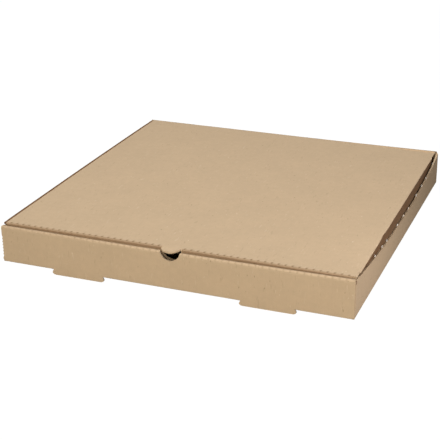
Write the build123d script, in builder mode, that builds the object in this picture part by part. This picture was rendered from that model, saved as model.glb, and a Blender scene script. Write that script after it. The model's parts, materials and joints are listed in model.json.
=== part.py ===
"""Closed pizza box, die-cut and folded from one sheet of thin corrugated kraft board.

The tray is the base with its four walls: a front wall that rolls over its corner ears and locks
into the base, two side walls with a scooped top edge, and a rear wall. The lid is the top panel
with its tucked flaps. The two meet at the rear fold, where the lid swings.

X runs across the front, Y from front to rear, Z up. The origin is the middle of the box with
its thumb tab, at the height of the two feet below the front wall.
"""
import os
from math import atan2, cos, radians, sin, tan

from build123d import *

# Board
board = 1.6                   # thickness of the corrugated board
fold_radius = 1.05            # middle of the board round a fold
fit_gap = 0.1                 # between panels folded against each other
score_pitch = 6.53            # pinches along the two front folds
score_length = 1.4            # length of one pinch
score_depth = 0.3             # how far a pinch goes into a fold

# Tray, with heights from the underside of the base
box_width = 356.0             # across the front, outside
box_depth = 356.0             # front to rear, outside
front_height = 37.4           # top of the front wall
rear_height = 35.3            # top of the rear fold
side_front_drop = 1.5         # top of the front wall to the side wall just behind it
side_low_height = 22.6        # side wall at the bottom of its scoop
side_rear_height = 33.0       # side wall at its rear end
scoop_low_place = 235.0       # front of the box to the bottom of the scoop
scoop_front_bend = (60.0, 30.3)
scoop_middle_bend = (130.0, 24.9)
scoop_rear_bend = (312.0, 26.6)
ear_length = 64.0             # corner ears, along the front and rear walls
ear_height = 30.5
ear_taper = 12.0              # how much shorter an ear is at its top

# Feet and the locks beside them
foot_width = 55.0
foot_neck = 53.0
foot_drop = 5.6
foot_spacing = 194.0
foot_corner = 2.4
slot_margin = 0.7             # free width of a lock slot behind the inner panel
lock_width = 50.0

# Thumb notch in the front wall
thumb_x = 0.7                 # off the middle of the box
notch_width = 20.4
notch_depth = 9.0
notch_inner_depth = 13.0      # on the inner panel of the front wall

# Lid
lid_front_rise = 1.8          # top of the front wall to the top of the lid at its front fold
lid_side_gap = 0.2            # side of the tray to the side of the lid at its front fold
lid_narrowing = 2.6           # how much farther in each side of the lid is at the hinge
front_fold_gap = 0.3          # between the rolled front wall and the lid's front fold
front_fold_inset = 3.2        # lid's side edge to the end of its front fold
front_flap_depth = 29.0
front_flap_lean = 15.0        # degrees off the vertical
side_flap_depth = 27.0
side_flap_lean = 31.0
side_flap_front = 27.0        # front of the box to the front end of a side flap
side_flap_rear = 20.0         # rear of the box to the rear end of a side flap
side_flap_taper = 16.0
flap_relief = 0.5             # cut beside each end of a side flap's fold
cut_margin = 4.0              # how far a cut at a free edge reaches past the board
tab_width = 19.4              # half-round thumb tab of the lid
tab_reach = 7.6
flap_cut_depth = 13.0         # cut-out of the front flap below the tab
hinge_gap = 0.3

# Levels and planes that follow from the sizes
roll_depth = 3 * board + 2 * fit_gap
tab_overhang = tab_reach - roll_depth - front_fold_gap
front_y = (tab_overhang - box_depth) / 2
rear_y = front_y + box_depth
base_z = foot_drop
base_mid = base_z + board / 2
base_top = base_z + board
front_top = base_z + front_height
wall_x = box_width / 2 - board / 2
outer_fold = fold_radius + board / 2
roll_rear_y = front_y + roll_depth
side_front_y = front_y + board + fit_gap
side_rear_y = rear_y - board - fit_gap
hinge_y = rear_y - board / 2
hinge_z = base_z + rear_height - board / 2
score_count = int(box_width / score_pitch) - 1
pinch_level = outer_fold - outer_fold / cos(radians(45)) - score_depth
side_front_height = front_height - side_front_drop
lid_front_height = front_height + lid_front_rise
lid_front_width = box_width - 2 * lid_side_gap
lid_rear_width = lid_front_width - 2 * lid_narrowing


def upright(y):
    """Vertical plane across the box at y, seen from the front."""
    return Plane.XZ.offset(-y)


def fold_reach(lean):
    """How far the sharp corner of a fold past the vertical lies outside its round."""
    return fold_radius * (tan(radians(90 + lean) / 2) - 1)


# Tray
with BuildPart() as tray:
    # base plate between its four folds
    with BuildSketch(Plane.XY.offset(base_z)):
        with Locations((0, (front_y + rear_y) / 2)):
            Rectangle(box_width - 2 * outer_fold, box_depth - 2 * outer_fold)
    extrude(amount=board)

    # side walls with the base between them, folded from one strip
    side_start = side_front_y + outer_fold
    side_end = side_rear_y - outer_fold
    with BuildSketch(upright(side_start)):
        with BuildLine() as side_path:
            FilletPolyline(
                (-wall_x, front_top),
                (-wall_x, base_mid),
                (wall_x, base_mid),
                (wall_x, front_top),
                radius=fold_radius,
            )
        trace(side_path.line, line_width=board)
    extrude(amount=-(side_end - side_start))

    # corner ears, folded inwards from both ends of each side wall
    for end_y, inward in ((side_front_y, 1), (side_rear_y, -1)):
        ear_y = end_y + inward * board / 2
        with BuildSketch(Plane.XY.offset(base_top + 2 * fit_gap)):
            for side in (-1, 1):
                with BuildLine() as ear_path:
                    FilletPolyline(
                        (side * wall_x, end_y + inward * (outer_fold + board)),
                        (side * wall_x, ear_y),
                        (side * (wall_x - ear_length), ear_y),
                        radius=fold_radius,
                    )
                trace(ear_path.line, line_width=board)
        extrude(amount=ear_height)
        with BuildSketch(upright(end_y - inward * fit_gap)):
            for side in (-1, 1):
                ear_tip = side * (wall_x - ear_length)
                with BuildLine():
                    Polyline(
                        (ear_tip - side * cut_margin, base_top + ear_height + cut_margin),
                        (ear_tip + side * ear_taper, base_top + ear_height + cut_margin),
                        (ear_tip, base_z + ear_height / 2),
                        (ear_tip - side * cut_margin, base_z + ear_height / 2),
                        close=True,
                    )
                make_face()
        extrude(amount=-inward * (board + 2 * fit_gap), mode=Mode.SUBTRACT)

    # scooped top edges of the side walls, kept below the rolled front wall
    under_roll = front_top - board - fit_gap
    cut_top = front_top + rear_height
    scoop_start = (roll_rear_y, base_z + side_front_height)
    scoop_end = (rear_y - board - fit_gap / 2, base_z + side_rear_height)
    with BuildSketch(Plane.YZ.offset(-box_width)):
        with BuildLine():
            Spline(
                scoop_start,
                (front_y + scoop_front_bend[0], base_z + scoop_front_bend[1]),
                (front_y + scoop_middle_bend[0], base_z + scoop_middle_bend[1]),
                (front_y + scoop_low_place, base_z + side_low_height),
                (front_y + scoop_rear_bend[0], base_z + scoop_rear_bend[1]),
                scoop_end,
            )
            Polyline(
                scoop_end,
                (scoop_end[0], cut_top),
                (side_front_y - fit_gap / 2, cut_top),
                (side_front_y - fit_gap / 2, under_roll),
                (roll_rear_y, under_roll),
                scoop_start,
            )
        make_face()
    extrude(amount=2 * box_width, mode=Mode.SUBTRACT)

    # front wall: outer panel and narrow top over the full width
    with BuildSketch(Plane.YZ.offset(-box_width / 2)):
        with BuildLine() as roll_path:
            FilletPolyline(
                (front_y + outer_fold + board, base_mid),
                (front_y + board / 2, base_mid),
                (front_y + board / 2, front_top - board / 2),
                (roll_rear_y - board / 2, front_top - board / 2),
                (roll_rear_y - board / 2, front_top - outer_fold - fit_gap),
                radius=fold_radius,
            )
        trace(roll_path.line, line_width=board)
    extrude(amount=box_width)

    # inner panel between the side walls, down to the base
    with BuildSketch(upright(roll_rear_y)):
        with Locations((0, base_top + fit_gap)):
            Rectangle(
                box_width - 2 * (board + fit_gap),
                front_height - board - fit_gap - outer_fold,
                align=(Align.CENTER, Align.MIN),
            )
    extrude(amount=board)

    # rear wall, ending in the round of the lid's fold
    with BuildSketch(Plane.YZ.offset(-box_width / 2)):
        with BuildLine() as rear_path:
            FilletPolyline(
                (rear_y - outer_fold - board, base_mid),
                (hinge_y, base_mid),
                (hinge_y, hinge_z),
                radius=fold_radius,
            )
        trace(rear_path.line, line_width=board)
        with Locations((hinge_y, hinge_z)):
            Circle(board / 2)
    extrude(amount=box_width)

    # two lock slots in the base, each with a foot that stays in the plane of the front wall
    with BuildSketch(Plane.XY.offset(base_z)):
        with GridLocations(foot_spacing, 0, 2, 1):
            with Locations((0, front_y + board)):
                Rectangle(foot_neck, roll_depth - board + slot_margin, align=(Align.CENTER, Align.MIN))
    extrude(amount=board, mode=Mode.SUBTRACT)
    with BuildSketch(upright(front_y)) as feet:
        for side in (-1, 1):
            foot_x = side * foot_spacing / 2
            with BuildLine():
                Polyline(
                    (foot_x - foot_neck / 2, base_z + outer_fold),
                    (foot_x - foot_neck / 2, base_z),
                    (foot_x - foot_width / 2, base_z - foot_drop / 2),
                    (foot_x - foot_width / 2, 0),
                    (foot_x + foot_width / 2, 0),
                    (foot_x + foot_width / 2, base_z - foot_drop / 2),
                    (foot_x + foot_neck / 2, base_z),
                    (foot_x + foot_neck / 2, base_z + outer_fold),
                    close=True,
                )
            make_face()
        fillet(feet.vertices().group_by(Axis.Y)[0], foot_corner)
    extrude(amount=-board)

    # lock tabs of the inner panel, down in the slots
    with BuildSketch(upright(roll_rear_y)) as locks:
        with GridLocations(foot_spacing, 0, 2, 1):
            with Locations((0, base_z + fit_gap)):
                Rectangle(lock_width, board + fit_gap, align=(Align.CENTER, Align.MIN))
        fillet(locks.vertices().group_by(Axis.Y)[0], board / 2)
    extrude(amount=board)

    # thumb notch: half round in the outer panel, deeper in the inner one
    with BuildSketch(upright(front_y + roll_depth / 2)):
        with Locations((thumb_x, front_top + notch_width / 2 - notch_depth)):
            Circle(notch_width / 2)
    extrude(amount=roll_depth, mode=Mode.SUBTRACT)
    with BuildSketch(upright(roll_rear_y + fit_gap)):
        with Locations((thumb_x, front_top)):
            SlotOverall(2 * notch_inner_depth, notch_width, rotation=90)
    extrude(amount=roll_depth / 2 + fit_gap, mode=Mode.SUBTRACT)

    # pinches along the top fold of the front wall
    fold_corner = Plane(origin=(0, front_y, front_top), x_dir=(1, 0, 0), z_dir=(0, -1, 1))
    with BuildSketch(fold_corner.offset(pinch_level)):
        with GridLocations(score_pitch, 0, score_count, 1):
            Rectangle(score_length, 2 * outer_fold)
    extrude(amount=outer_fold, mode=Mode.SUBTRACT)

tray.part.label = "tray"

# Lid, on a plane that rises a little from the hinge to the front
lid_rise = atan2(lid_front_height - rear_height, box_depth - roll_depth)
lid_plane = Plane(
    origin=(0, hinge_y, hinge_z),
    x_dir=(1, 0, 0),
    z_dir=(0, sin(lid_rise), cos(lid_rise)),
)
lid_length = (hinge_y - roll_rear_y - front_fold_gap) / cos(lid_rise)
panel_start = outer_fold - lid_length
panel_end = -board / 2 - hinge_gap
flap_start = board / 2 + side_flap_front - box_depth
flap_end = board / 2 - side_flap_rear
relief_start = flap_start - flap_relief
relief_end = flap_end + flap_relief
edge_slope = (lid_front_width - lid_rear_width) / 2 / lid_length
front_corner_y = board / 2 - lid_length - fold_reach(front_flap_lean)


lid_side = Plane(origin=lid_plane.origin, x_dir=lid_plane.y_dir, z_dir=(1, 0, 0))
lid_front = Plane(origin=lid_plane.origin, x_dir=(1, 0, 0), z_dir=-lid_plane.y_dir)


def lid_edge(y):
    """Half the lid's width at y on the lid's plane, which is zero at the hinge."""
    return lid_rear_width / 2 - edge_slope * y


with BuildPart() as lid:
    # top panel, set back where the side flaps fold down
    with BuildSketch(lid_plane.offset(-board / 2)) as top_outline:
        with BuildLine():
            Polyline(
                (lid_edge(panel_start), panel_start),
                (lid_edge(relief_start), relief_start),
                (lid_edge(relief_start) - outer_fold, relief_start),
                (lid_edge(relief_end) - outer_fold, relief_end),
                (lid_edge(relief_end), relief_end),
                (lid_edge(panel_end), panel_end),
                (0, panel_end),
                (0, panel_start),
                close=True,
            )
        make_face()
        mirror(about=Plane.YZ)
    extrude(amount=board)

    # side flaps, leaning inwards from the folds along both sides
    side_lean = radians(side_flap_lean)
    for side in (-1, 1):
        fold_shift = fold_reach(side_flap_lean) - board / 2
        fold_start, fold_end = [
            Vector(lid_plane.from_local_coords((side * (lid_edge(y) + fold_shift), y, 0)))
            for y in (flap_start, flap_end)
        ]
        fold_line = fold_end - fold_start
        across = Plane(origin=fold_start, x_dir=(1, 0, 0), z_dir=fold_line)
        with BuildSketch(across):
            with BuildLine() as side_flap_path:
                FilletPolyline(
                    (-side * (outer_fold + 2 * board), 0),
                    (0, 0),
                    (-side * side_flap_depth * sin(side_lean), side_flap_depth * cos(side_lean)),
                    radius=fold_radius,
                )
            trace(side_flap_path.line, line_width=board)
        extrude(amount=fold_line.length)

    # sloping ends of the side flaps
    with BuildSketch(lid_side.offset(-box_width)):
        for end_y, inward in ((flap_start, 1), (flap_end, -1)):
            with BuildLine():
                Polyline(
                    (end_y - inward * cut_margin, -outer_fold),
                    (end_y + inward * fold_radius, -outer_fold),
                    (end_y + inward * side_flap_taper, -side_flap_depth),
                    (end_y - inward * cut_margin, -side_flap_depth),
                    close=True,
                )
            make_face()
    extrude(amount=2 * box_width, mode=Mode.SUBTRACT)

    # front flap behind the rolled front wall
    front_lean = radians(front_flap_lean)
    front_half = lid_edge(panel_start) - front_fold_inset
    with BuildSketch(lid_side.offset(-front_half)):
        with BuildLine() as front_flap_path:
            FilletPolyline(
                (panel_start + 2 * board, 0),
                (front_corner_y, 0),
                (
                    front_corner_y + front_flap_depth * sin(front_lean),
                    -front_flap_depth * cos(front_lean),
                ),
                radius=fold_radius,
            )
        trace(front_flap_path.line, line_width=board)
    extrude(amount=2 * front_half)

    # cut-out in the front flap, as wide as the thumb tab
    cut_y = board + outer_fold + front_flap_depth * sin(front_lean) - lid_length
    with BuildSketch(lid_front.offset(-cut_y)):
        with Locations((thumb_x, 0)):
            SlotOverall(2 * flap_cut_depth, tab_width, rotation=90)
    extrude(amount=cut_y + lid_length + board, mode=Mode.SUBTRACT)

    # thumb tab, standing in the lid's plane over the cut-out
    with BuildSketch(lid_plane.offset(-board / 2)):
        with BuildLine():
            tab_left = (thumb_x - tab_width / 2, -lid_length)
            tab_tip = (thumb_x, -lid_length - tab_reach)
            tab_right = (thumb_x + tab_width / 2, -lid_length)
            ThreePointArc(tab_left, tab_tip, tab_right)
            Polyline(tab_right, (tab_right[0], cut_y), (tab_left[0], cut_y), tab_left)
        make_face()
    extrude(amount=board)

    # pinches along the front fold, on both sides of the thumb tab
    lid_corner = Plane(
        origin=lid_plane.from_local_coords((0, -lid_length, board / 2)),
        x_dir=(1, 0, 0),
        z_dir=lid_plane.z_dir - lid_plane.y_dir,
    )
    with BuildSketch(lid_corner.offset(pinch_level)):
        with GridLocations(score_pitch, 0, score_count, 1):
            Rectangle(score_length, 2 * outer_fold)
        with Locations((thumb_x, 0)):
            Rectangle(tab_width + 2 * score_length, 3 * outer_fold, mode=Mode.SUBTRACT)
    extrude(amount=outer_fold, mode=Mode.SUBTRACT)

lid.part.label = "lid"

os.makedirs("parts", exist_ok=True)
export_step(tray.part, "parts/tray.step")
export_step(lid.part, "parts/lid.step")
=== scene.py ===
import json
import math

import bpy
from mathutils import Matrix, Vector
from mathutils.noise import noise as noiseAt


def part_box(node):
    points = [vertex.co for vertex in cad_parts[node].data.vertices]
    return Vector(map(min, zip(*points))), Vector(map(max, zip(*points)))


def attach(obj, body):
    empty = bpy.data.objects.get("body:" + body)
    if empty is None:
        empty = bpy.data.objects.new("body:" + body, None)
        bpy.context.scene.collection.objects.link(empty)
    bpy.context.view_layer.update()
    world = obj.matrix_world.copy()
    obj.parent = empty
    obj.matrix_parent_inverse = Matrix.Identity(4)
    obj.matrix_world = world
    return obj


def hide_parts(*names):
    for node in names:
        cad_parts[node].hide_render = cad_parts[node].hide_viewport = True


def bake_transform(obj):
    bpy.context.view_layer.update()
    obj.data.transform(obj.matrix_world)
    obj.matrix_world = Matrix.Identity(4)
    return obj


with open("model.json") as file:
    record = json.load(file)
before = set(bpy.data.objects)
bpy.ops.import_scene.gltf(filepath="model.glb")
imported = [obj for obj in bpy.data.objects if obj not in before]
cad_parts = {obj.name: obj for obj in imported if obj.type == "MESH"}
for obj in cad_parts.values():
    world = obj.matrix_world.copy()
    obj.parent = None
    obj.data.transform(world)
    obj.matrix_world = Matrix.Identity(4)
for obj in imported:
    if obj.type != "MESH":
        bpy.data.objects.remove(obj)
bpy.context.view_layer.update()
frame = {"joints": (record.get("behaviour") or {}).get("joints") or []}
scene = bpy.context.scene

# Corners of the CAD tray and the middle of the lid's hinge, in metres
trayLow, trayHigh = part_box("tray")
hinge = Vector(frame["joints"][0]["pos_m"])

# The board that the whole box is folded from
board = {
    "thick": 0.0016,
    "flute": 0.00325,         # pitch of the flutes, which run from front to rear
    "bend": 0.00105,          # middle of the board round a fold
    "bendSteps": 5,
    "foldStrip": 0.0030,      # to either side of the hinge, part of the rear fold
    "weld": 0.00002,          # points closer than this are one
    "smooth": 38,             # faces that meet at less than this many degrees look round
    "play": 0.0001,           # air between two layers of board
}
half = board["thick"] / 2


def clamp(value, low=0.0, high=1.0):
    return min(max(value, low), high)


def only(piece):
    bpy.ops.object.select_all(action="DESELECT")
    piece.select_set(True)
    bpy.context.view_layer.objects.active = piece


def spread(low, high, count):
    return [low + (high - low) * i / count for i in range(count + 1)]


# A flat sheet of board whose columns and rows lie where they are asked for
def addSheet(name, columns, rows, height=0.0):
    wide, deep = len(columns) - 1, len(rows) - 1
    bpy.ops.mesh.primitive_grid_add(x_subdivisions=wide, y_subdivisions=deep, size=1)
    piece = bpy.context.object
    piece.name = name
    for vertex in piece.data.vertices:
        column = round((vertex.co.x + 0.5) * wide)
        row = round((vertex.co.y + 0.5) * deep)
        vertex.co = (columns[column], rows[row], height)
    rememberBlank(piece)
    return piece


# The UV map holds each point's place on the flat blank, in metres, so patterns follow the folds
def rememberBlank(piece):
    blank = piece.data.uv_layers.active.data
    for loop in piece.data.loops:
        place = piece.data.vertices[loop.vertex_index].co
        blank[loop.index].uv = (place.x, place.y)


def fold(pieces, degrees, axis, pivot):
    # without a window the operator turns the other way, hence the sign
    for piece in pieces:
        only(piece)
        bpy.ops.object.mode_set(mode="EDIT")
        bpy.ops.mesh.select_all(action="SELECT")
        bpy.ops.transform.rotate(value=-math.radians(degrees), orient_axis=axis,
                                 center_override=pivot)
        bpy.ops.object.mode_set(mode="OBJECT")


def joinPieces(pieces):
    bpy.ops.object.select_all(action="DESELECT")
    for piece in pieces:
        piece.select_set(True)
    bpy.context.view_layer.objects.active = pieces[0]
    bpy.ops.object.join()
    return pieces[0]


# Sheets that share a fold line become one, welded along it
def joinSheets(pieces):
    sheet = joinPieces(pieces)
    bpy.ops.object.mode_set(mode="EDIT")
    bpy.ops.mesh.select_all(action="SELECT")
    bpy.ops.mesh.remove_doubles(threshold=board["weld"])
    bpy.ops.object.mode_set(mode="OBJECT")
    return sheet


def selectVertices(piece, wanted):
    mesh = piece.data
    for face in mesh.polygons:
        face.select = False
    for edge in mesh.edges:
        edge.select = False
    for vertex in mesh.vertices:
        vertex.select = wanted(vertex.co)


def selectEdges(piece, wanted):
    mesh = piece.data
    selectVertices(piece, lambda co: False)
    for edge in mesh.edges:
        a, b = (mesh.vertices[i].co for i in edge.vertices)
        if wanted(a) and wanted(b):
            edge.select = True
            for i in edge.vertices:
                mesh.vertices[i].select = True


def deleteFaces(piece, wanted):
    selectVertices(piece, lambda co: False)
    for face in piece.data.polygons:
        face.select = wanted(face.center)
    bpy.ops.object.mode_set(mode="EDIT")
    bpy.ops.mesh.select_mode(type="FACE")
    bpy.ops.mesh.delete(type="FACE")
    bpy.ops.mesh.select_mode(type="VERT")
    bpy.ops.object.mode_set(mode="OBJECT")


# Rounds a sharp fold to the board's own bend, unless another is asked for
def roundFold(piece, onLine, turn=90, bend=None):
    only(piece)
    selectEdges(piece, onLine)
    bpy.ops.object.mode_set(mode="EDIT")
    bpy.ops.mesh.select_mode(type="EDGE")
    reach = (bend or board["bend"]) * math.tan(math.radians(turn) / 2)
    bpy.ops.mesh.bevel(offset=reach, offset_type="OFFSET", segments=board["bendSteps"],
                       affect="EDGES", clamp_overlap=False)
    bpy.ops.mesh.select_mode(type="VERT")
    bpy.ops.object.mode_set(mode="OBJECT")


def moveVertices(piece, shift):
    for vertex in piece.data.vertices:
        vertex.co += Vector(shift(vertex.co))


# Gives the sheet its thickness, with the cut edges in the second material and, for their
# flutes, how far through the board each point lies
def thicken(piece):
    only(piece)
    count = len(piece.data.vertices)
    solid = piece.modifiers.new("board", "SOLIDIFY")
    solid.thickness = board["thick"]
    solid.offset = 0
    solid.use_even_offset = True
    solid.material_offset_rim = 1
    bpy.ops.object.modifier_apply(modifier=solid.name)
    across = piece.data.attributes.new("across", "FLOAT", "POINT")
    for vertex in piece.data.vertices:
        across.data[vertex.index].value = 0.0 if vertex.index < count else 1.0
    bpy.ops.object.shade_smooth_by_angle(angle=math.radians(board["smooth"]))


# Where folds meet, an even thickness throws single corners out past the sheet's outside
def trimCorners(piece, low, high):
    for vertex in piece.data.vertices:
        vertex.co = [clamp(value, a, b) for value, a, b in zip(vertex.co, low, high)]


# How dark a point is painted, from 0 to 1: painted shade where creases and gaps lie in shade,
# with the marks of the creasing rule
def markCreaseAndShade(piece, amount):
    creaseAndShade = piece.data.attributes.new("creaseAndShade", "FLOAT", "POINT")
    for vertex in piece.data.vertices:
        creaseAndShade.data[vertex.index].value = amount(vertex.co)


def near(value, wanted, reach=board["weld"]):
    return abs(value - wanted) < reach


# Kraft board: cloudy brown paper with loose fibres, and flutes that show as faint lines
kraft = {
    "colour": (0.625, 0.470, 0.300),
    "darkFibre": (0.33, 0.22, 0.125),
    "paleFibre": (0.76, 0.62, 0.44),
    "fluteLine": (0.30, 0.21, 0.12),
    # painted shade: the colour that creases and gaps in shade are darkened towards
    "creasedAndShaded": (0.165, 0.078, 0.027),
    "roughness": 0.86,
    "gloss": 0.25,
    "cloudSize": 28,          # a higher number makes smaller clouds, and so on below
    "mottleSize": 190,
    "grainSize": 1500,
    "darkest": 0.927,         # of the paper's own colour
    "cloudRange": 0.052,      # how much paler each of the three layers makes it
    "fluteShade": 0.012,
    "bump": 0.22,
    "bumpDepth": 0.0001,
    # turn, size, narrowness, how rare, colour and strength: long thin fibres, then short specks
    "fibres": (
        (0.25, 520, 0.16, 0.71, "darkFibre", 0.22), (1.35, 640, 0.16, 0.72, "darkFibre", 0.20),
        (2.3, 560, 0.16, 0.71, "paleFibre", 0.32), (-0.6, 700, 0.16, 0.72, "paleFibre", 0.30),
        (0.7, 430, 0.45, 0.765, "darkFibre", 0.65), (1.9, 470, 0.40, 0.765, "paleFibre", 0.85),
    ),
}


def addNode(tree, kind, **sockets):
    node = tree.nodes.new(kind)
    for name, value in sockets.items():
        node.inputs[name].default_value = value
    return node


def mathNode(tree, operation, a, b=None, clamped=False):
    node = tree.nodes.new("ShaderNodeMath")
    node.operation = operation
    node.use_clamp = clamped
    for slot, value in enumerate((a, b)):
        if value is None:
            continue
        if isinstance(value, (int, float)):
            node.inputs[slot].default_value = value
        else:
            tree.links.new(value, node.inputs[slot])
    return node.outputs[0]


def mixColour(tree, factor, a, b, blend="MIX"):
    node = tree.nodes.new("ShaderNodeMix")
    node.data_type = "RGBA"
    node.blend_type = blend
    for slot, value in ((0, factor), (6, a), (7, b)):
        if isinstance(value, (int, float, tuple)):
            node.inputs[slot].default_value = value
        else:
            tree.links.new(value, node.inputs[slot])
    return node.outputs[2]


def band(tree, value, low, high):
    node = tree.nodes.new("ShaderNodeMapRange")
    node.inputs["From Min"].default_value = low
    node.inputs["From Max"].default_value = high
    tree.links.new(value, node.inputs["Value"])
    return node.outputs[0]


def noise(tree, vector, scale, stretch=(1, 1, 1), turn=0.0, detail=2.0, shift=0.0):
    mapping = tree.nodes.new("ShaderNodeMapping")
    mapping.inputs["Scale"].default_value = stretch
    mapping.inputs["Rotation"].default_value = (0, 0, turn)
    mapping.inputs["Location"].default_value = (shift, shift * 0.7, shift * 1.3)
    tree.links.new(vector, mapping.inputs["Vector"])
    node = tree.nodes.new("ShaderNodeTexNoise")
    node.inputs["Scale"].default_value = scale
    node.inputs["Detail"].default_value = detail
    tree.links.new(mapping.outputs[0], node.inputs["Vector"])
    return node.outputs[0]


def newMaterial(name):
    material = bpy.data.materials.new(name)
    material.use_nodes = True
    tree = material.node_tree
    shader = tree.nodes["Principled BSDF"]
    shader.inputs["Roughness"].default_value = kraft["roughness"]
    shader.inputs["Specular IOR Level"].default_value = kraft["gloss"]
    return material, tree, shader


def opaque(colour):
    return (colour[0], colour[1], colour[2], 1.0)


def readAttribute(tree, name):
    node = tree.nodes.new("ShaderNodeAttribute")
    node.attribute_name = name
    return node.outputs["Fac"]


# From -1 to 1 across each flute
def fluteWave(tree, blank):
    across = tree.nodes.new("ShaderNodeSeparateXYZ")
    tree.links.new(blank, across.inputs[0])
    turns = mathNode(tree, "MULTIPLY", across.outputs[0], 2 * math.pi / board["flute"])
    return mathNode(tree, "SINE", turns)


def addBump(tree, shader, height, strength, depth):
    bump = addNode(tree, "ShaderNodeBump", Strength=strength, Distance=depth)
    tree.links.new(height, bump.inputs["Height"])
    tree.links.new(bump.outputs[0], shader.inputs["Normal"])


def makeKraft():
    material, tree, shader = newMaterial("kraftPaper")
    blank = addNode(tree, "ShaderNodeUVMap").outputs[0]
    clouds = noise(tree, blank, kraft["cloudSize"], detail=4)
    mottle = noise(tree, blank, kraft["mottleSize"], detail=3, shift=3.1)
    grain = noise(tree, blank, kraft["grainSize"], stretch=(1.0, 0.45, 1), detail=2, shift=7.7)
    mottled = mathNode(tree, "MULTIPLY", band(tree, mottle, 0.3, 0.7), 0.9)
    grained = mathNode(tree, "MULTIPLY", band(tree, grain, 0.25, 0.75), 0.9)
    shade = mathNode(tree, "ADD", band(tree, clouds, 0.25, 0.75), mottled)
    shade = mathNode(tree, "ADD", shade, grained)
    paler = mathNode(tree, "MULTIPLY", shade, kraft["cloudRange"])
    lightness = mathNode(tree, "ADD", paler, kraft["darkest"])
    colour = mixColour(tree, 1.0, opaque(kraft["colour"]), lightness, "MULTIPLY")
    for turn, size, narrow, rare, tint, strength in kraft["fibres"]:
        streak = noise(tree, blank, size, stretch=(1.0, narrow, 1), turn=turn, detail=1,
                       shift=size / 37)
        mask = mathNode(tree, "MULTIPLY", band(tree, streak, rare, rare + 0.05), strength)
        colour = mixColour(tree, mask, colour, opaque(kraft[tint]))
    # the flutes under the liner
    wave = fluteWave(tree, blank)
    line = mathNode(tree, "MULTIPLY", band(tree, wave, -1, 1), kraft["fluteShade"])
    colour = mixColour(tree, line, colour, opaque(kraft["fluteLine"]))
    # painted shade: creases and gaps that lie in shade are darkened towards the creased colour
    colour = mixColour(tree, readAttribute(tree, "creaseAndShade"), colour, opaque(kraft["creasedAndShaded"]))
    tree.links.new(colour, shader.inputs["Base Color"])
    fluted = mathNode(tree, "MULTIPLY", wave, 0.08)
    height = mathNode(tree, "ADD", fluted, mathNode(tree, "MULTIPLY", grain, 0.8))
    addBump(tree, shader, height, kraft["bump"], kraft["bumpDepth"])
    return material


# Cut edge of the board: two liners with the fluted paper waving between them, and painted shade
# in the hollows between. Measures across the board run from 0 at one face to 1 at the other
cutEdge = {
    "paper": (0.72, 0.56, 0.38),
    # painted shade of the hollows inside the cut edge
    "hollowShade": (0.40, 0.29, 0.18),
    "swing": 0.34,            # of the fluted paper to either side of the middle
    "fluteEdge": (0.20, 0.12),
    "linerEdge": (0.32, 0.38),
    "tornSize": 700,
    "bump": 0.5,
    "bumpDepth": 0.0003,
}


def makeCutEdge():
    material, tree, shader = newMaterial("cutBoard")
    wave = fluteWave(tree, addNode(tree, "ShaderNodeUVMap").outputs[0])
    depth = readAttribute(tree, "across")
    middle = mathNode(tree, "ADD", mathNode(tree, "MULTIPLY", wave, cutEdge["swing"]), 0.5)
    offWave = mathNode(tree, "ABSOLUTE", mathNode(tree, "SUBTRACT", depth, middle))
    offCentre = mathNode(tree, "ABSOLUTE", mathNode(tree, "SUBTRACT", depth, 0.5))
    flute = band(tree, offWave, *cutEdge["fluteEdge"])
    liner = band(tree, offCentre, *cutEdge["linerEdge"])
    paper = mathNode(tree, "MAXIMUM", flute, liner, clamped=True)
    place = addNode(tree, "ShaderNodeTexCoord").outputs["Object"]
    torn = noise(tree, place, cutEdge["tornSize"], detail=3)
    paper = mathNode(tree, "MULTIPLY", paper, band(tree, torn, 0.1, 0.5), clamped=True)
    colour = mixColour(tree, paper, opaque(cutEdge["hollowShade"]), opaque(cutEdge["paper"]))
    tree.links.new(colour, shader.inputs["Base Color"])
    addBump(tree, shader, paper, cutEdge["bump"], cutEdge["bumpDepth"])
    return material


kraftPaper = makeKraft()
cutBoard = makeCutEdge()
print("materials ready")


def dressPaper(piece):
    piece.data.materials.clear()
    piece.data.materials.append(kraftPaper)
    piece.data.materials.append(cutBoard)


def dress(piece, body, slot, *nodes):
    dressPaper(piece)
    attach(piece, body)
    if nodes:
        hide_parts(*nodes)


# The creasing rule leaves a pinch every two flutes along the front folds
pinch = {
    "pitch": 0.00653,
    "each": 26,               # to either side of the middle one
    "near": 0.0017,
    "depth": 0.0006,          # in the lid's fold
    "wallDepth": 0.0005,      # in the front wall's fold
    "end": 0.0034,            # last column before each end of the fold
}


# Columns of a sheet that crosses the front folds, closer beside each pinch
def pinchedColumns(width, margins=()):
    columns = [-width / 2] + [margin - width / 2 for margin in margins]
    columns.append(-width / 2 + pinch["end"])
    for i in range(-pinch["each"], pinch["each"] + 1):
        x = i * pinch["pitch"]
        columns += [x - pinch["near"], x, x + pinch["near"]]
        if i < pinch["each"]:
            columns.append(x + pinch["pitch"] / 2)
    return columns + [width / 2 - pinch["end"], width / 2]


def isPinch(x):
    place = x / pinch["pitch"]
    return abs(place - round(place)) < 0.02 and abs(round(place)) <= pinch["each"]


# The rear right corner of the box stands up a little
corner = {"lift": 0.0011, "reach": 0.09}


def cornerLift(place):
    toRight = clamp(2 * place.x / tray["width"])
    toRear = clamp((place.y - tray["rearY"]) / corner["reach"] + 1)
    toTop = clamp((place.z - tray["baseZ"]) / (hinge.z - tray["baseZ"]))
    return Vector((0, 0, corner["lift"] * toRight**2 * toRear**2 * (3 - 2 * toRear) * toTop))


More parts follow.
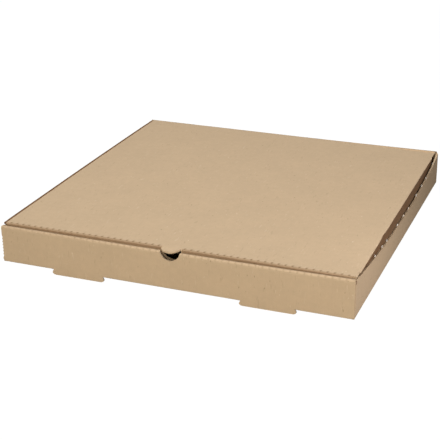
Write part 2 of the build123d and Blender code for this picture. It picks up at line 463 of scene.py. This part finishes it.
# Tray
tray = {
    "width": trayHigh.x - trayLow.x,
    "frontY": trayLow.y,
    "rearY": trayHigh.y,
    "baseZ": 0.0056,
    "topZ": trayHigh.z,
    "roll": 0.0050,           # front to back over the rolled wall
    "sideGap": 0.0002,        # front panel to the side wall's front corner
    "drop": 0.0011,           # how much lower the base is along its right side
    "sag": 0.0007,            # how far the front wall's top hangs in its middle
    "scallop": 0.0009,        # depth of the crushed flutes at the front left corner
    "crushed": 7,             # how many flutes
    "crushFrom": 0.0040,      # the lowest one's height above the base
    "drawnIn": 0.0003,        # ends of the front wall's top, towards the middle
    "frontBend": 0.0002,      # middle of the board at the foot of the front wall
    "baseBend": 0.0006,       # and at the foot of the other walls
    "plainFoot": 0.0020,      # height up to which a side wall isn't stretched to its scoop
    "footPlaces": (-0.0960, 0.0965),
    "footHalf": 0.0270,
    # height above the table and half the width of a foot, from its neck down
    "footShape": ((0.0056, 0.0264), (0.0047, 0.0267), (0.0036, 0.0273), (0.0024, 0.0276),
                  (0.0015, 0.0273), (0.0008, 0.0266), (0.0003, 0.0256), (0.0, 0.0243)),
    # painted shade: how dark the paper is painted where the front fold's creases, its pinches and
    # the slit at the right corner lie in shade
    "slitShade": 0.9,
    "backShade": 0.42,
    "pinchShade": 0.28,
    "foldShade": 0.07,
    "leftShade": 0.09,        # and this much more towards the left corner
}
# the scooped top of a side wall: place from the front, height above the base
scoop = ((0.0, 0.0364), (0.020, 0.0347), (0.060, 0.0303), (0.120, 0.0254), (0.180, 0.0235),
         (0.235, 0.0226), (0.290, 0.0250), (0.330, 0.0288), (0.356, 0.0338))


def scoopHeight(y):
    # smooth curve through the points of the scoop
    place = clamp(y - tray["frontY"], 0.0, scoop[-1][0])
    for i in range(len(scoop) - 1):
        if place <= scoop[i + 1][0]:
            break
    before, here, after, beyond = (scoop[clamp(i + k, 0, len(scoop) - 1)] for k in (-1, 0, 1, 2))
    run = after[0] - here[0]
    t = (place - here[0]) / run
    slopeHere = (after[1] - before[1]) / max(after[0] - before[0], 1e-9) * run
    slopeAfter = (beyond[1] - here[1]) / max(beyond[0] - here[0], 1e-9) * run
    return ((2 * t**3 - 3 * t**2 + 1) * here[1] + (t**3 - 2 * t**2 + t) * slopeHere
            + (3 * t**2 - 2 * t**3) * after[1] + (t**3 - t**2) * slopeAfter)


# How far the board is pushed in at a height above the lowest crushed flute
def crushAt(height):
    return tray["scallop"] * (0.5 - 0.5 * math.cos(2 * math.pi * height / board["flute"]))


def makeTray():
    midWidth = tray["width"] - board["thick"]
    columns = pinchedColumns(midWidth)
    frontMid = tray["frontY"] + half
    rearMid = tray["rearY"] - half
    baseMid = tray["baseZ"] + half
    topMid = tray["topZ"] - half
    wallRun = topMid - baseMid
    rollRun = tray["roll"] - board["thick"]
    # rows lie closer together beside the folds
    rows = [frontMid, frontMid + half, tray["frontY"] + tray["roll"] + 0.0007]
    rows += spread(rows[-1], rearMid - 0.006, 66)[1:] + [rearMid - 0.0017, rearMid]
    base = addSheet("traySheet", columns, rows, baseMid)

    # the front wall is laid out flat in front of the base, then rolled up
    crushTo = tray["crushFrom"] + tray["crushed"] * board["flute"]
    wallHeights = [0.0, 0.0030] + spread(tray["crushFrom"], crushTo, 28)[1:]
    wallHeights += [wallRun - 0.0044, wallRun - 0.0022, wallRun]
    wallRows = sorted(frontMid - h for h in wallHeights)
    outer = addSheet("outer", columns, wallRows, baseMid)
    rollRows = [frontMid - wallRun - h for h in (rollRun, 0.0019, 0.0012, 0.0)]
    top = addSheet("rollTop", columns, rollRows, baseMid)
    innerRun = wallRun - half - board["play"]
    innerRows = spread(rollRows[0] - innerRun, rollRows[0] - 0.0022, 6) + [rollRows[0]]
    inner = addSheet("inner", columns[1:-1], innerRows, baseMid)
    fold([outer, top, inner], -90, "X", (0, frontMid, baseMid))
    fold([top, inner], -90, "X", (0, frontMid, topMid))
    fold([inner], -90, "X", (0, frontMid + rollRun, topMid))

    # rear wall up to just below the lid's fold
    rearTop = rearMid + hinge.z - baseMid - board["foldStrip"]
    rearRows = [rearMid, rearMid + 0.0030] + spread(rearMid + 0.006, rearTop, 4)
    rear = addSheet("rear", columns, rearRows, baseMid)
    fold([rear], 90, "X", (0, rearMid, baseMid))

    # side walls, with fine rows up the wall for the crushed corner
    sideRows = rows[1:-1]
    sides = []
    for side in (-1, 1):
        edge = side * midWidth / 2
        heights = [0.0] + spread(0.0030, wallRun - 0.0009, 42)
        places = sorted(edge + side * h for h in heights)
        wall = addSheet("side", places, sideRows, baseMid)
        fold([wall], -90 * side, "Y", (edge, 0, baseMid))
        sides.append(wall)
    sheet = joinSheets([base, outer, top, inner, rear] + sides)

    # lock slots in the base, and the feet that go straight on below the wall
    def atFoot(co):
        return any(abs(co.x - x) < tray["footHalf"] for x in tray["footPlaces"])

    deleteFaces(sheet, lambda co: atFoot(co) and near(co.z, baseMid) and co.y < rows[2])
    only(sheet)
    low = baseMid
    for height, reach in tray["footShape"]:
        selectEdges(sheet, lambda co: near(co.z, low) and near(co.y, frontMid)
                    and (low < baseMid or atFoot(co)))
        bpy.ops.object.mode_set(mode="EDIT")
        bpy.ops.mesh.extrude_region_move(TRANSFORM_OT_translate={"value": (0, 0, height - low)})
        bpy.ops.object.mode_set(mode="OBJECT")
        low = height
        for x in tray["footPlaces"]:
            tip = [v for v in sheet.data.vertices
                   if near(v.co.z, low) and abs(v.co.x - x) < 1.5 * tray["footHalf"]]
            left, right = min(v.co.x for v in tip), max(v.co.x for v in tip)
            for vertex in tip:
                vertex.co.x = x + ((vertex.co.x - left) / (right - left) * 2 - 1) * reach

    # round folds
    def onFold(y, z):
        return lambda co: near(co.y, y) and near(co.z, z)

    roundFold(sheet, onFold(frontMid, topMid))
    roundFold(sheet, onFold(frontMid + rollRun, topMid))
    roundFold(sheet, lambda co: onFold(frontMid, baseMid)(co) and not atFoot(co),
              bend=tray["frontBend"])
    roundFold(sheet, onFold(rearMid, baseMid), bend=tray["baseBend"])
    for side in (-1, 1):
        roundFold(sheet, lambda co: near(co.x, side * midWidth / 2) and near(co.z, baseMid),
                  bend=tray["baseBend"])

    # scooped sides, the crushed front corner, pinches and the sag of the front wall
    frontZone = frontMid + rollRun + 0.0008
    topReach = board["bend"] * 1.02

    def settle(co):
        shift = Vector((0, 0, 0))
        plain = tray["plainFoot"]
        atEdge = near(abs(co.x), midWidth / 2, 0.0001)
        isSide = atEdge and frontMid + half / 2 < co.y < rearMid - 0.0015
        isSide = isSide and not near(co.z, topMid, 0.0007)
        if isSide and co.z > baseMid + plain:
            share = (co.z - baseMid - plain) / (wallRun - 0.0009 - plain)
            wanted = plain + share * (scoopHeight(co.y) - half - plain)
            shift.z = baseMid + wanted - co.z
        if isSide and co.y < rows[2] and co.x < 0:
            crush = crushAt(co.z + shift.z - baseMid - tray["crushFrom"])
            shift.x = crush * (0.8 if co.y < rows[1] + 0.0005 else 0.2)
        onPanel = co.y < frontMid + rollRun / 2 and co.z > baseMid + 0.0025
        if onPanel and atEdge and not isSide:
            height = co.z - baseMid - tray["crushFrom"]
            inRange = 0 < height < (tray["crushed"] + 0.01) * board["flute"]
            crush = crushAt(height) if inRange else 0
            shift.x = half if co.x > 0 else crush + tray["sideGap"] - half
        if co.y < frontZone and co.z > baseMid + 0.004 and not isSide:
            share = (co.z - baseMid) / wallRun
            shift.z -= tray["sag"] * share * (1 - (2 * co.x / midWidth) ** 2)
            shift.x -= tray["drawnIn"] * (2 * co.x / midWidth) ** 9
        # the base is a little lower on the right, and the feet stay on the table
        above = max(0.0, 1 - max(0.0, co.z - baseMid) / wallRun)
        below = min(1.0, max(0.0, co.z) / baseMid)
        shift.z -= tray["drop"] * (co.x / midWidth + 0.5) * above * below
        fromCorner = math.hypot(co.y - frontMid, co.z - topMid)
        if fromCorner < topReach and isPinch(co.x):
            weight = 1 - fromCorner / topReach
            shift += Vector((0, 1, -1)) * pinch["wallDepth"] * (0.35 + weight)
        return shift + cornerLift(co)

    # painted shade: the back of the rolled top, which lies in the crease, is darkened, each pinch
    # darkens the front of it, and the slit beside the right side wall is darkened near its top,
    # all where shade falls
    def creasedAndShaded(co):
        atSlit = co.x > midWidth / 2 - 0.0001 and near(co.y, frontMid + half, 0.0001)
        if atSlit and co.z > topMid - 0.0045:
            return tray["slitShade"]
        if not (near(co.z, topMid, 0.0012) and co.y < frontZone + 0.0005):
            return 0.0
        if co.y > frontMid + 0.0018:
            return tray["backShade"]
        if co.z < topMid - 0.0009 or co.y > frontMid + 0.0012:
            return 0.0
        dull = tray["foldShade"] + tray["leftShade"] * clamp((-0.05 - co.x) / 0.06)
        return tray["pinchShade"] if isPinch(co.x) else dull

    markCreaseAndShade(sheet, creasedAndShaded)
    moveVertices(sheet, settle)
    thicken(sheet)
    trimCorners(sheet, trayLow, trayHigh)
    return sheet


traySheet = makeTray()


def cutWith(piece, cutter):
    only(piece)
    cut = piece.modifiers.new("cut", "BOOLEAN")
    cut.operation = "DIFFERENCE"
    cut.solver = "EXACT"
    cut.object = cutter
    bpy.ops.object.modifier_apply(modifier=cut.name)
    bpy.data.objects.remove(cutter)


def slotCutter(x, y, z, radius, run, top):
    # a slot along Y with a round bottom, open up to its flat top
    bpy.ops.mesh.primitive_cylinder_add(vertices=48, radius=radius, depth=run, location=(x, y, z),
                                        rotation=(math.pi / 2, 0, 0))
    cutter = bpy.context.object
    bpy.ops.object.transform_apply(location=True, rotation=True, scale=True)
    for vertex in cutter.data.vertices:
        if vertex.co.z > z + 0.00001:
            vertex.co.z = top
    dressPaper(cutter)
    for face in cutter.data.polygons:
        face.material_index = 1
    return cutter


# Thumb notch: half round through the outer panel, deeper through the inner one
notch = {
    "x": 0.0007,
    "radius": 0.0102,
    "depth": 0.0090,
    "innerDepth": 0.0130,
    "outerCut": (0.0001, 0.0050),    # the cutter's middle behind the panel, and its length
    "innerCut": (-0.0003, 0.0054),
    "cutTop": 0.06,                  # above all that is cut
}


def cutNotch(piece):
    x, r, top = notch["x"], notch["radius"], notch["cutTop"]
    behind, run = notch["outerCut"]
    z = tray["topZ"] - notch["depth"] + r
    cutWith(piece, slotCutter(x, tray["frontY"] + behind, z, r, run, top))
    behind, run = notch["innerCut"]
    z = tray["topZ"] - notch["innerDepth"] + r
    cutWith(piece, slotCutter(x, tray["frontY"] + tray["roll"] + behind, z, r, run, top))


dress(traySheet, "tray", "kraft_tray", "tray")
cutNotch(traySheet)
print("tray folded", len(traySheet.data.polygons))


# Ears at the ends of the side walls, folded in along the front and rear walls
earShape = {
    "length": 0.064,
    "height": 0.0305,
    "offBase": 0.0002,
    "taper": 0.012,           # how far the top of an ear's end is cut back
    "taperFrom": 0.35,        # of its height
}


def makeEars():
    ears = []
    baseTop = tray["baseZ"] + board["thick"] + earShape["offBase"]
    inside = board["thick"] + board["play"] + half
    for y in (tray["frontY"] + inside, tray["rearY"] - inside):
        for side in (-1, 1):
            edge = side * (tray["width"] / 2 - half)
            tip = edge - side * earShape["length"]
            places = sorted(spread(edge, tip, 20))
            ear = addSheet("ear", places, spread(0.0, earShape["height"], 10), 0)
            fold([ear], 90, "X", (0, 0, 0))
            for vertex in ear.data.vertices:
                height = vertex.co.z
                highUp = height / earShape["height"] - earShape["taperFrom"]
                slope = earShape["taper"] * max(0.0, highUp)
                share = (vertex.co.x - edge) / (tip - edge)
                vertex.co = (vertex.co.x + side * slope * share, y, baseTop + height)
            thicken(ear)
            ears.append(ear)
    ears = joinSheets(ears)
    ears.name = "ears"
    dress(ears, "tray", "kraft_tray")


makeEars()


# Lid
lid = {
    "frontWidth": 0.3556,
    "rearWidth": 0.3504,
    "frontFoldY": tray["frontY"] + tray["roll"] + 0.0003,
    "frontTop": tray["baseZ"] + 0.0392,
    "frontFlap": 0.029,
    "frontLean": 15,
    "sideFlap": 0.027,
    "sideLean": 3,
    "sideTaper": 0.016,
    "sideBend": 0.0001,       # middle of the board round a side fold
    "evenFrom": 0.0055,       # behind the front fold, where the even rows start
    "tickEnd": 0.0026,        # how far behind the round of the fold the pinches reach
    "leftBow": 0.0008,
    "leftOut": 0.0002,        # the whole left edge lies this much further out
    "rightDrop": 0.0011,      # the front right corner lies this much lower
    "dentPlace": 0.099,       # behind the front fold, in the right edge
    "dentReach": 0.007,
    "dentDepth": 0.0008,
    "darkEdge": 0.0021,       # width of the painted shade along the left side's crease
    # painted shade: how dark the paper is painted in creases and gaps that lie in shade, down to
    # the deep shade of the gap above a side wall
    "tickShade": 0.78,
    "pinchShade": 0.8,
    "foldShades": (0.25, 0.48, 0.68),    # from the fold line down
    "flapShade": 0.95,        # top of a side flap
}


def makeLid():
    rise = math.atan2(lid["frontTop"] - half - hinge.z, hinge.y - lid["frontFoldY"])
    length = math.hypot(hinge.y - lid["frontFoldY"], lid["frontTop"] - half - hinge.z)
    # flat blank of the lid with the hinge line at zero
    foldY = half - length
    wide = lid["frontWidth"] - board["thick"]
    columns = pinchedColumns(wide, (lid["darkEdge"], lid["darkEdge"] + 0.0003))
    foldReach = board["bend"] * math.tan(math.radians(90 + lid["frontLean"]) / 2)
    tickEnd = foldY + foldReach + lid["tickEnd"]
    rows = [foldY, tickEnd - 0.0016, tickEnd]
    rows += spread(foldY + lid["evenFrom"], -board["foldStrip"], 70)
    panel = addSheet("lidSheet", columns, rows)
    frontRows = spread(foldY - lid["frontFlap"], foldY - 0.003, 5) + [foldY]
    front = addSheet("frontFlap", columns[3:-1], frontRows)
    flapRows = rows[4:-4]
    flaps = []
    for side in (-1, 1):
        edge = side * wide / 2
        places = sorted([edge] + [edge + side * h for h in spread(0.0025, lid["sideFlap"], 5)])
        flap = addSheet("sideFlap", places, flapRows)
        middle = (flapRows[0] + flapRows[-1]) / 2
        reach = (flapRows[-1] - flapRows[0]) / 2
        for vertex in flap.data.vertices:
            depth = abs(vertex.co.x - edge) / lid["sideFlap"]
            narrower = 1 - lid["sideTaper"] * depth / reach
            vertex.co.y = middle + (vertex.co.y - middle) * narrower
        flaps.append(flap)
        fold([flap], (90 + lid["sideLean"]) * side, "Y", (edge, 0, 0))
    fold([front], 90 + lid["frontLean"], "X", (0, foldY, 0))
    sheet = joinSheets([panel, front] + flaps)
    roundFold(sheet, lambda co: near(co.y, foldY) and near(co.z, 0), 90 + lid["frontLean"])
    for side in (-1, 1):
        edge = side * wide / 2
        ends = (flapRows[0] - 0.0001, flapRows[-1] + 0.0001)
        roundFold(sheet, lambda co: near(co.x, edge) and near(co.z, 0)
                  and ends[0] < co.y < ends[1], 90 + lid["sideLean"], lid["sideBend"])

    flare = (lid["frontWidth"] - lid["rearWidth"]) / 2

    # painted shade on the left side's crease, the front fold with its pinches, and the tops of
    # the side flaps, where these lie in shade
    def creasedAndShaded(co):
        if co.x < -wide / 2 + lid["darkEdge"] + 0.00001 and co.z > -0.0012:
            return 1.0
        if co.y < tickEnd + 0.00001 and co.z > -foldReach - 0.0002:
            if co.y > foldY + foldReach + 0.0001:
                onTick = isPinch(co.x) and co.y < tickEnd - 0.0001
                return lid["tickShade"] if onTick else 0.0
            if near(co.z, 0, 0.000001):
                return lid["pinchShade"] if isPinch(co.x) else lid["foldShades"][0]
            return lid["foldShades"][1 if co.z > -foldReach / 3 else 2]
        if abs(co.x) < wide / 2 - 0.009 or co.z > -0.0001:
            return 0.0
        return lid["flapShade"] * clamp(1.6 + 1.6 * co.z / lid["sideFlap"])

    # below its fold a side flap stays inside the wall
    inWall = tray["width"] / 2 - board["thick"] - half - 2 * board["play"]

    def settle(co):
        shift = Vector((0, 0, 0))
        toFront = clamp(-co.y / length)
        toLeft = max(-co.x / (wide / 2), 0)
        shift.x = -co.x / (wide / 2) * flare * (1 - toFront) - lid["leftOut"] * toLeft
        fromCorner = math.hypot(co.y - foldY, co.z)
        if fromCorner < foldReach * 1.02 and isPinch(co.x):
            weight = 1 - fromCorner / foldReach
            shift += Vector((0, 1, -1)) * pinch["depth"] * (0.4 + weight)
        # the left edge bows out, the front right corner hangs a little, and the right edge has
        # a dent
        shift.x -= lid["leftBow"] * toLeft**2 * math.sin(math.pi * toFront)
        toRight = clamp(co.x / (wide / 2))
        atFront = clamp((toFront - 0.6) / 0.4)
        shift.z -= lid["rightDrop"] * toRight**1.5 * atFront**2 * (3 - 2 * atFront)
        fromDent = (co.y + length - lid["dentPlace"]) / lid["dentReach"]
        if co.x > wide / 2 - 0.006:
            shift.x -= lid["dentDepth"] * math.exp(-fromDent**2)
        if abs(co.x) > wide / 2 - 0.009 and co.z < -0.0012:
            shift.x = math.copysign(min(abs(co.x + shift.x), inWall), co.x) - co.x
        return shift + cornerLift(co + hinge)

    markCreaseAndShade(sheet, creasedAndShaded)
    moveVertices(sheet, settle)
    # the fold's outside comes to the fold line, and the lid takes its slope about the hinge
    outward = board["bend"] * (math.tan(math.radians(90 + lid["frontLean"]) / 2) - 1)
    for vertex in sheet.data.vertices:
        if vertex.co.y < foldY + lid["evenFrom"]:
            vertex.co.y -= outward
    tab = makeTab(-length)
    for piece in (sheet, tab):
        thicken(piece)
        trimCorners(piece, (trayLow.x, -1, -1), (trayHigh.x, 1, half))
        dressPaper(piece)
    fold([sheet, tab], -math.degrees(rise), "X", (0, 0, 0))
    for piece in (sheet, tab):
        moveVertices(piece, lambda co: hinge)
    return sheet, tab


# Thumb tab: stays in the lid's plane when the front flap is folded down. Its left side is
# round, and its right side ends a little behind the fold
thumb = {
    "radius": 0.0097,
    "reach": 0.00752,         # in front of the fold line
    "root": 0.0035,           # behind it
    "droop": 0.0008,          # of its tip, less towards the right
    "holeDepth": 0.0130,
}


def makeTab(foldLine):
    tab = addSheet("thumbTab", spread(-1, 1, 32), spread(0, 1, 8))
    for vertex in tab.data.vertices:
        u, v = vertex.co.x, vertex.co.y
        outline = math.sqrt(1 - min(u * u, 1)) if u < 0 else 1 - 1.25 * u**2.4
        back = foldLine + thumb["root"]
        front = foldLine - thumb["reach"] * outline
        droop = thumb["droop"] * (max(u, 0)**2 - 1) * (1 - v)
        vertex.co = (notch["x"] + thumb["radius"] * u, front + (back - front) * v, droop)
    rememberBlank(tab)
    markCreaseAndShade(tab, lambda co: 0.0)
    return tab


lidSheet, thumbTab = makeLid()


# The tab leaves a round-ended hole in the front flap and its fold
def cutTabHole():
    x, r, y = notch["x"], thumb["radius"], lid["frontFoldY"]
    z = lid["frontTop"] - thumb["holeDepth"] + r
    underPanel = lid["frontTop"] - board["thick"] - 0.0008
    cutWith(lidSheet, slotCutter(x, y - 0.0010, z, r, 0.0085, notch["cutTop"]))
    cutWith(lidSheet, slotCutter(x, y + 0.0080, z, r, 0.0100, underPanel))
    joinPieces([lidSheet, thumbTab])
    bpy.ops.object.shade_smooth_by_angle(angle=math.radians(board["smooth"]))


cutTabHole()
dress(lidSheet, "lid", "kraft_lid", "lid")
print("lid folded", len(lidSheet.data.polygons))


# The strip of board in the rear fold, rounded between the rear wall and the lid
rearBend = {"middle": 0.0009, "shade": 0.25}


def makeRearFold():
    leg = board["foldStrip"]
    strip = addSheet("rearFold", spread(-1, 1, 60), [-leg, 0, leg])
    for vertex in strip.data.vertices:
        along, across = vertex.co.y, vertex.co.x
        wide = (tray["width"] if along < 0 else lid["rearWidth"]) / 2 - half
        if near(along, 0):
            wide = (tray["width"] + lid["rearWidth"]) / 4 - half
        vertex.co = (across * wide, min(-along, 0.0), min(along, 0.0))
    bend = rearBend["middle"]
    roundFold(strip, lambda co: near(co.y, 0) and near(co.z, 0), bend=bend)

    # painted shade on the round of the rear fold
    def creasedAndShaded(co):
        onRound = max(co.y, co.z) > -0.0002 and min(co.y, co.z) > -bend
        return rearBend["shade"] if onRound else 0.0

    markCreaseAndShade(strip, creasedAndShaded)
    moveVertices(strip, lambda co: hinge + cornerLift(co + hinge))
    thicken(strip)
    dressPaper(strip)
    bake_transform(strip)


makeRearFold()


# Torn fibres where the die left nicks in the scooped edge
nicks = {
    "places": (0.0720, 0.0995, 0.1180, 0.1620, 0.1885, 0.2110, 0.2475, 0.2740, 0.2950, 0.3310),
    "size": 0.0016,
    "inset": 0.0010,          # of a tuft's middle from the wall's outside
    "rough": 0.45,
    "roughSize": 1400,
    "dark": (0.82, 0.72, 0.58),
    "pale": (0.97, 0.93, 0.86),
    "fuzzSize": 2500,
}


def makeTornFibre():
    material, tree, shader = newMaterial("tornFibre")
    place = addNode(tree, "ShaderNodeTexCoord").outputs["Object"]
    fuzz = band(tree, noise(tree, place, nicks["fuzzSize"], detail=3), 0.3, 0.7)
    colour = mixColour(tree, fuzz, opaque(nicks["dark"]), opaque(nicks["pale"]))
    tree.links.new(colour, shader.inputs["Base Color"])
    return material


def makeNicks():
    flakes = []
    for i, place in enumerate(nicks["places"]):
        y = tray["frontY"] + place
        z = tray["baseZ"] + scoopHeight(y) + nicks["size"] * 0.3
        bpy.ops.mesh.primitive_ico_sphere_add(subdivisions=3, radius=nicks["size"],
                                              location=(tray["width"] / 2 - nicks["inset"], y, z))
        flake = bpy.context.object
        for vertex in flake.data.vertices:
            rough = noiseAt(vertex.co * nicks["roughSize"] + Vector((i, 0, 0)))
            vertex.co *= 0.85 + nicks["rough"] * rough
            vertex.co.x *= 0.5
        flakes.append(flake)
    torn = joinPieces(flakes)
    torn.name = "tornNicks"
    only(torn)
    bpy.ops.object.transform_apply(location=True, rotation=True, scale=True)
    torn.data.materials.append(makeTornFibre())
    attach(torn, "tray")


makeNicks()
print("small pieces ready")


# Camera, as the photograph was taken
camera = {
    "place": (0.40827, -1.08895, 0.50186),
    "azimuth": 21.371,
    "elevation": 23.173,
    "roll": -0.632,
    "lens": 97.41,
    "sensor": 36,
    "nearest": 0.01,
}


def makeCamera():
    data = bpy.data.cameras.new("camera")
    data.lens = camera["lens"]
    data.sensor_width = camera["sensor"]
    data.clip_start = camera["nearest"]
    obj = bpy.data.objects.new("camera", data)
    scene.collection.objects.link(obj)
    az = math.radians(camera["azimuth"])
    el = math.radians(camera["elevation"])
    roll = math.radians(camera["roll"])
    back = Vector((math.sin(az) * math.cos(el), -math.cos(az) * math.cos(el), math.sin(el)))
    level = Vector((0, 0, 1)).cross(back).normalized()
    upright = back.cross(level)
    right = math.cos(roll) * level + math.sin(roll) * upright
    top = -math.sin(roll) * level + math.cos(roll) * upright
    turn = Matrix((right, top, back)).transposed()
    obj.matrix_world = Matrix.Translation(camera["place"]) @ turn.to_4x4()
    scene.camera = obj


# Light: a broad lamp overhead, one far in front, a small one low on the right
lamps = {
    "overhead": {"place": (-0.12, 0.02, 1.28), "size": 0.7, "power": 11.45,
                 "colour": (1.0, 0.985, 0.995)},
    "front": {"place": (0.06, -1.35, 0.45), "size": 0.7, "power": 11.2,
              "colour": (1.0, 0.945, 0.87)},
    "right": {"place": (0.46, -0.19, 0.13), "size": 0.2, "power": 0.60,
              "colour": (1.0, 0.95, 0.97)},
}


def makeLamps():
    for name, lamp in lamps.items():
        data = bpy.data.lights.new(name, "AREA")
        data.shape = "DISK"
        data.size = lamp["size"]
        data.energy = lamp["power"]
        data.color = lamp["colour"]
        obj = bpy.data.objects.new(name, data)
        scene.collection.objects.link(obj)
        place = Vector(lamp["place"])
        turn = place.to_track_quat("Z", "Y").to_matrix()
        obj.matrix_world = Matrix.Translation(place) @ turn.to_4x4()


# The world and the floor: the camera, mirrors and glass see white, and the light on the object
# stays as it is
surround = {
    "glow": 0.02,
    "floorColour": (0.27, 0.25, 0.22),
    "floorSize": 12.0,
    "floorHeight": -0.0002,
    "floorWhite": 1.12,       # strength of the white that the camera sees on the floor
    "whiteShare": 0.9,        # the rest shows the object's shadow
}


def seenDirectly(tree):
    path = tree.nodes.new("ShaderNodeLightPath")
    seen = mathNode(tree, "MAXIMUM", path.outputs["Is Camera Ray"], path.outputs["Is Glossy Ray"])
    return mathNode(tree, "MAXIMUM", seen, path.outputs["Is Transmission Ray"])


def mixShader(tree, factor, first, second):
    mix = tree.nodes.new("ShaderNodeMixShader")
    if isinstance(factor, float):
        mix.inputs[0].default_value = factor
    else:
        tree.links.new(factor, mix.inputs[0])
    tree.links.new(first, mix.inputs[1])
    tree.links.new(second, mix.inputs[2])
    return mix.outputs[0]


def makeSurround():
    world = bpy.data.worlds.new("studio")
    scene.world = world
    world.use_nodes = True
    tree = world.node_tree
    tree.nodes.clear()
    glow = addNode(tree, "ShaderNodeBackground", Strength=surround["glow"])
    white = addNode(tree, "ShaderNodeBackground", Strength=1.0)
    output = tree.nodes.new("ShaderNodeOutputWorld")
    sky = mixShader(tree, seenDirectly(tree), glow.outputs[0], white.outputs[0])
    tree.links.new(sky, output.inputs[0])

    bpy.ops.mesh.primitive_plane_add(size=surround["floorSize"],
                                     location=(0, 0, surround["floorHeight"]))
    floor = bpy.context.object
    floor.name = "floor"
    material = bpy.data.materials.new("floorWhite")
    floor.data.materials.append(material)
    material.use_nodes = True
    tree = material.node_tree
    tree.nodes.clear()
    matt = addNode(tree, "ShaderNodeBsdfDiffuse", Color=opaque(surround["floorColour"]))
    glow = addNode(tree, "ShaderNodeEmission", Strength=surround["floorWhite"])
    pale = mixShader(tree, surround["whiteShare"], matt.outputs[0], glow.outputs[0])
    output = tree.nodes.new("ShaderNodeOutputMaterial")
    ground = mixShader(tree, seenDirectly(tree), matt.outputs[0], pale)
    tree.links.new(ground, output.inputs[0])


makeCamera()
makeLamps()
makeSurround()
print("camera and light ready")

scene.view_settings.view_transform = "Standard"
